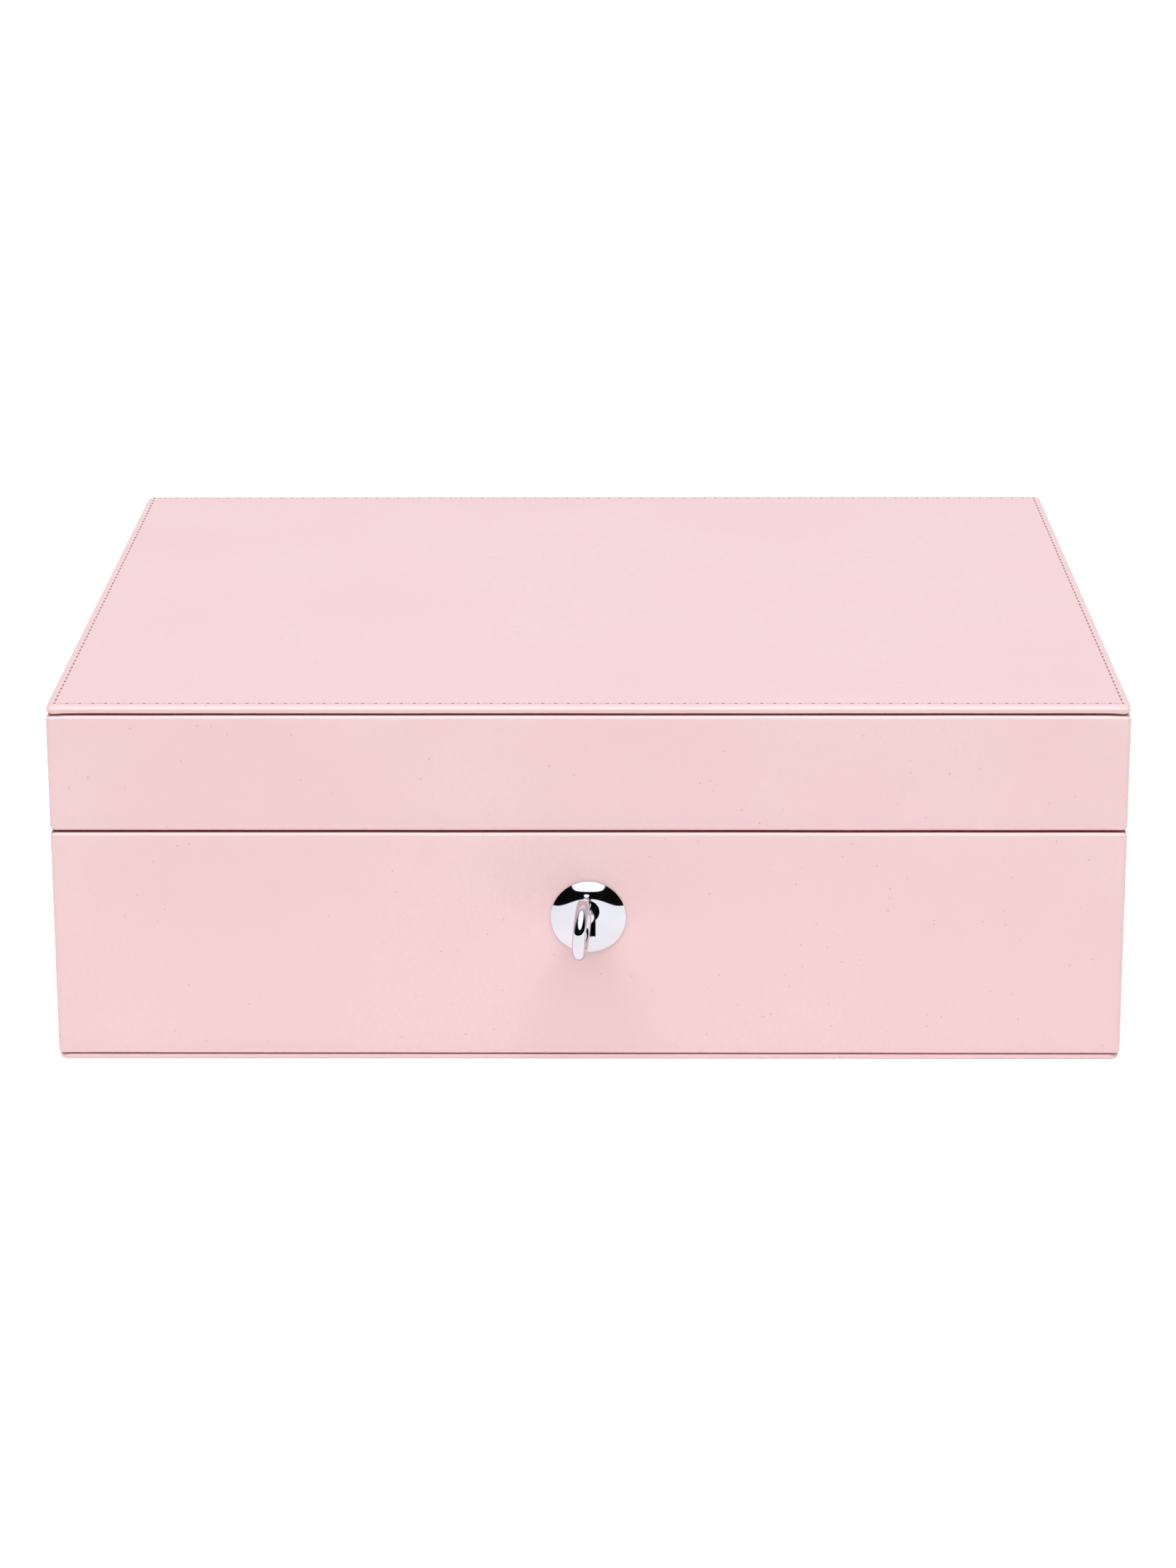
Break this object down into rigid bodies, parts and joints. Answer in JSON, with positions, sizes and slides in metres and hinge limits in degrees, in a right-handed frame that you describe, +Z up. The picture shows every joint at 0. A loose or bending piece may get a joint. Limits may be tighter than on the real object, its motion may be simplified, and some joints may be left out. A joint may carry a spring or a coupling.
{
  "type": "jewellery chest",
  "caption": "Leather-covered jewellery chest with a padded lift-up lid on stop hinges, a keyed box lock, lift-out trays, ring rolls and a lid mirror.",
  "frame": {"origin": "centre of the underside, on the surface that the chest stands on", "axes": "+X to the right seen from the lock, +Y from the lock to the hinges, +Z up"},
  "size_m": [0.29, 0.2603, 0.101],
  "materials": {
    "pink_leather": "smooth fine-grained pastel pink leather, satin",
    "suede": "short-napped microfibre suede, matt",
    "box_board": "sanded fibreboard, bare",
    "nickel": "polished nickel plate",
    "lock_brass": "stamped brass, tumbled",
    "lock_black": "blackened steel, oiled",
    "lock_steel": "bright zinc-plated steel",
    "mirror_glass": "silvered float glass"
  },
  "bodies": {
    "base": {"bottom_cover": "pink_leather", "base_leather": "pink_leather", "base_wall_front": "box_board", "base_wall_back": "box_board", "base_wall_left": "box_board", "base_wall_right": "box_board", "base_floor": "box_board", "base_lining_front": "suede", "base_lining_back": "suede", "base_lining_left": "suede", "base_lining_right": "suede", "base_pad": "suede", "lower_divider_left": "suede", "lower_divider_right": "suede", "tray_rail_front": "suede", "tray_rail_back": "suede", "hinge_left_base_leaf": "nickel", "hinge_left_pin": "lock_steel", "hinge_right_base_leaf": "nickel", "hinge_right_pin": "lock_steel", "escutcheon": "nickel", "lock_case": "lock_steel", "lock_cap": "lock_steel", "lock_selvedge": "nickel", "lock_screw_left": "nickel", "lock_screw_right": "nickel", "lock_spring": "lock_steel"},
    "lid": {"lid_leather": "pink_leather", "lid_wall_front": "box_board", "lid_wall_back": "box_board", "lid_wall_left": "box_board", "lid_wall_right": "box_board", "lid_board": "box_board", "lid_panel_board": "box_board", "lid_panel_leather": "pink_leather", "lid_lining_front": "suede", "lid_lining_back": "suede", "lid_lining_left": "suede", "lid_lining_right": "suede", "lid_lining_top": "suede", "lid_mirror": "mirror_glass", "lid_mirror_frame": "pink_leather", "hinge_left_lid_leaf": "nickel", "hinge_right_lid_leaf": "nickel", "link_plate": "nickel", "link_screw_left": "nickel", "link_screw_right": "nickel"},
    "lock_cam": {"lock_cam": "lock_black"},
    "lock_bolt": {"lock_bolt": "lock_brass"},
    "key": {"key": "nickel"},
    "tray_left": {"tray_left": "suede", "tray_left_tab": "pink_leather", "ring_roll_1": "suede", "ring_roll_2": "suede", "ring_roll_3": "suede", "ring_roll_4": "suede", "ring_roll_5": "suede"},
    "tray_right": {"tray_right": "suede", "tray_right_tab": "pink_leather"}
  },
  "joints": [
    {"name": "lid_hinge", "type": "hinge", "parent": "base", "child": "lid", "pos_m": [0, 0.1179, 0.06545], "axis": [-1, 0, 0], "range_deg": [0, 95]},
    {"name": "key_turn", "type": "hinge", "parent": "base", "child": "lock_cam", "pos_m": [0, -0.1116, 0.0437], "axis": [0, 1, 0], "range_deg": [-90, 0]},
    {"name": "bolt_slide", "type": "slide", "parent": "base", "child": "lock_bolt", "axis": [1, 0, 0], "range_m": [-0.00595, 0]},
    {"name": "key_withdraw", "type": "slide", "parent": "lock_cam", "child": "key", "axis": [-0.1079, -0.9935, -0.0349], "range_m": [0, 0.032]},
    {"name": "tray_left_lift", "type": "slide", "parent": "base", "child": "tray_left", "axis": [0, 0, 1], "range_m": [0, 0.018]},
    {"name": "tray_right_lift", "type": "slide", "parent": "base", "child": "tray_right", "axis": [0, 0, 1], "range_m": [0, 0.018]}
  ],
  "couplings": [
    {"joint": "bolt_slide", "follows": "key_turn", "m_per_rad": 0.0037815}
  ]
}
